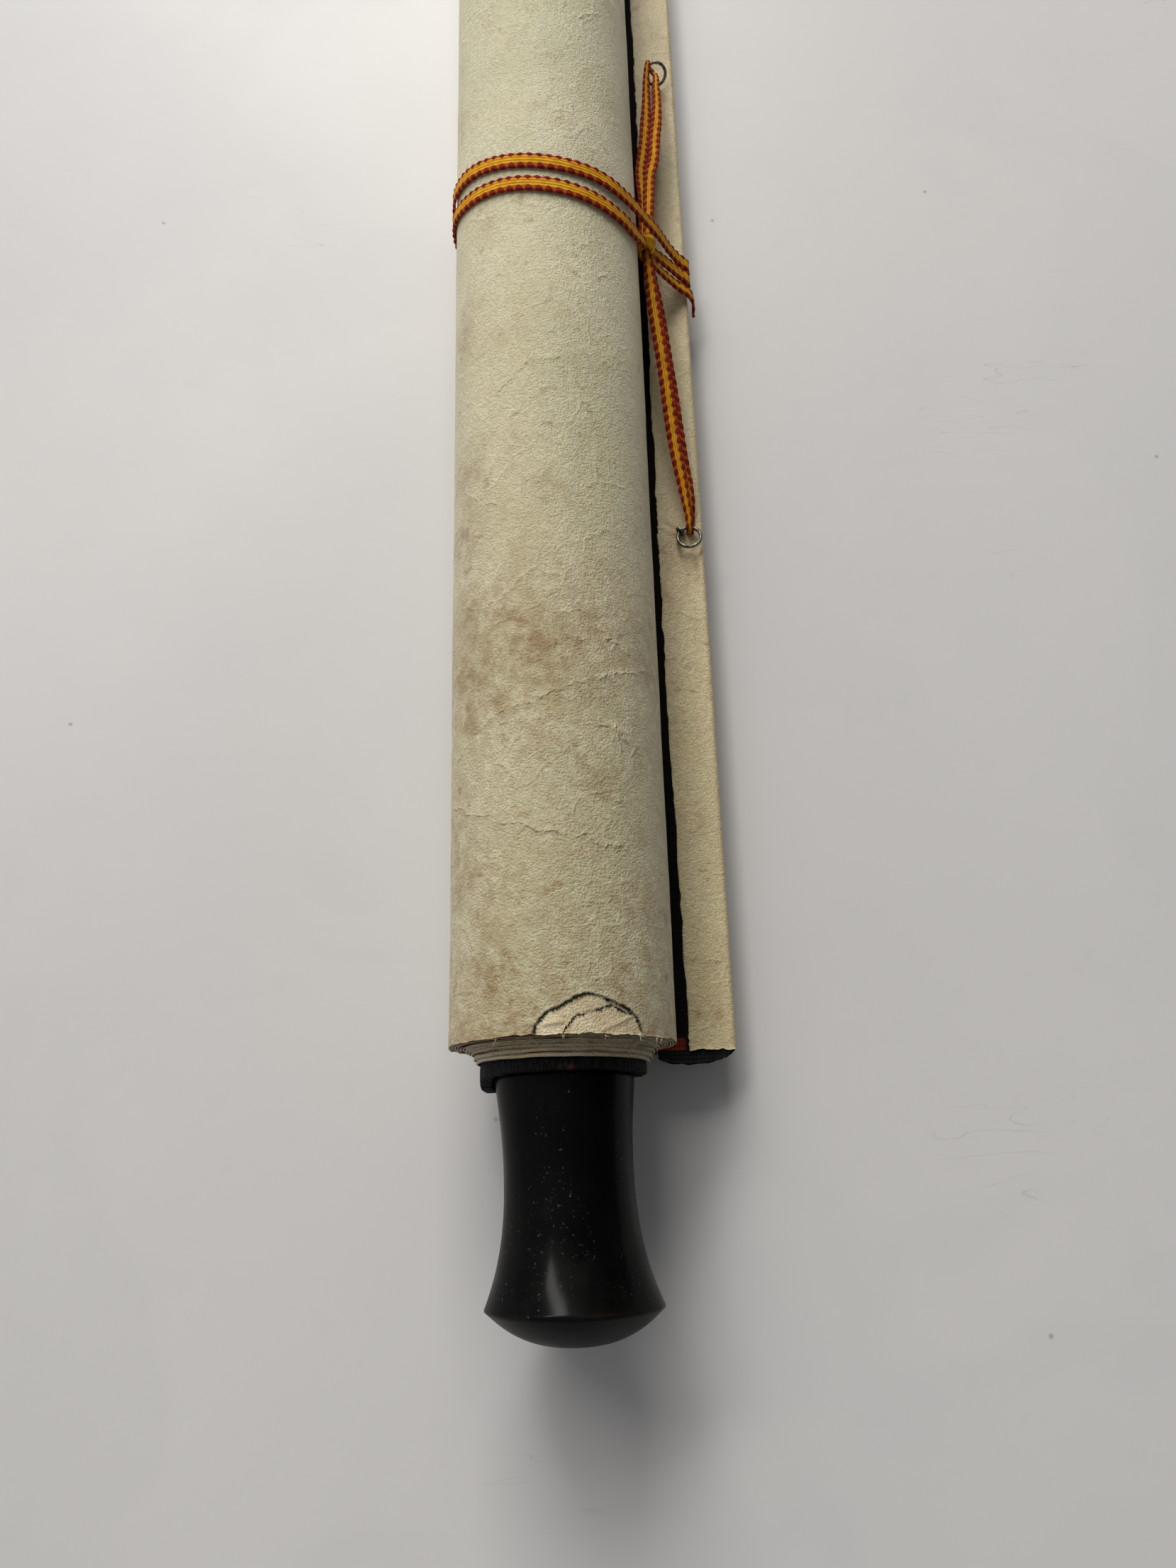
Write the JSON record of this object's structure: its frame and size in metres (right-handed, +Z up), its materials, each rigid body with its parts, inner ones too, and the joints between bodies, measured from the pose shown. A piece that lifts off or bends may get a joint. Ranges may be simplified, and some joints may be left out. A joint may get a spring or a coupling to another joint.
{
  "type": "rolled hanging scroll",
  "caption": "Hanging scroll rolled on its roller with turned end knobs, a half-round top stave with hanging rings, and a woven tape that ties the roll shut.",
  "frame": {"origin": "on the table, straight below the roller axis and midway along its length, where the roll rests", "axes": "+Y along the roller, -Y towards the knob that the picture shows; +X towards the stave; +Z up from the table"},
  "size_m": [0.0688, 0.55, 0.0525],
  "materials": {
    "aged_paper": "matt, fibrous, foxed",
    "red_silk": "woven brocade, slight sheen",
    "painting_paper": "matt",
    "black_cloth": "plain weave, linty",
    "stave_paper": "matt, fibrous, foxed",
    "stave_wood": "end grain, darkened",
    "dark_bronze": "dark patina",
    "woven_tape": "woven, gold centre and red edges",
    "roller_wood": "bare, planed",
    "black_leather": "crinkled, matt",
    "black_lacquer": "turned, black lacquer, satin, worn flecks"
  },
  "bodies": {
    "sheet": {"backing_paper": "aged_paper", "face_silk": "red_silk", "painting": "painting_paper", "top_border": "black_cloth", "stave_paper": "stave_paper", "stave_cloth": "black_cloth", "stave_core": "stave_wood", "eye_far": "dark_bronze", "eye_near": "dark_bronze", "cord_far": "woven_tape", "cord_near": "woven_tape", "tie_tape": "woven_tape", "tie_knot": "woven_tape", "tie_tail": "woven_tape"},
    "roller": {"roller_rod": "roller_wood", "collar_near": "black_leather", "collar_far": "black_leather", "knob_near": "black_lacquer", "knob_far": "black_lacquer"},
    "far_ring": {"ring_far": "dark_bronze"},
    "near_ring": {"ring_near": "dark_bronze"}
  },
  "joints": [
    {"name": "roller_turn", "type": "hinge", "parent": "sheet", "child": "roller", "pos_m": [0, 0, 0.0263], "axis": [0, 1, 0], "range_deg": [0, 90]},
    {"name": "far_ring_swing", "type": "hinge", "parent": "sheet", "child": "far_ring", "pos_m": [0.0342, 0.078, 0.0122], "axis": [1, 0, 0], "range_deg": [-8, 8]},
    {"name": "near_ring_swing", "type": "hinge", "parent": "sheet", "child": "near_ring", "pos_m": [0.0338, -0.079, 0.0122], "axis": [-0.6665, -0.7455, 0], "range_deg": [0, 10]}
  ]
}
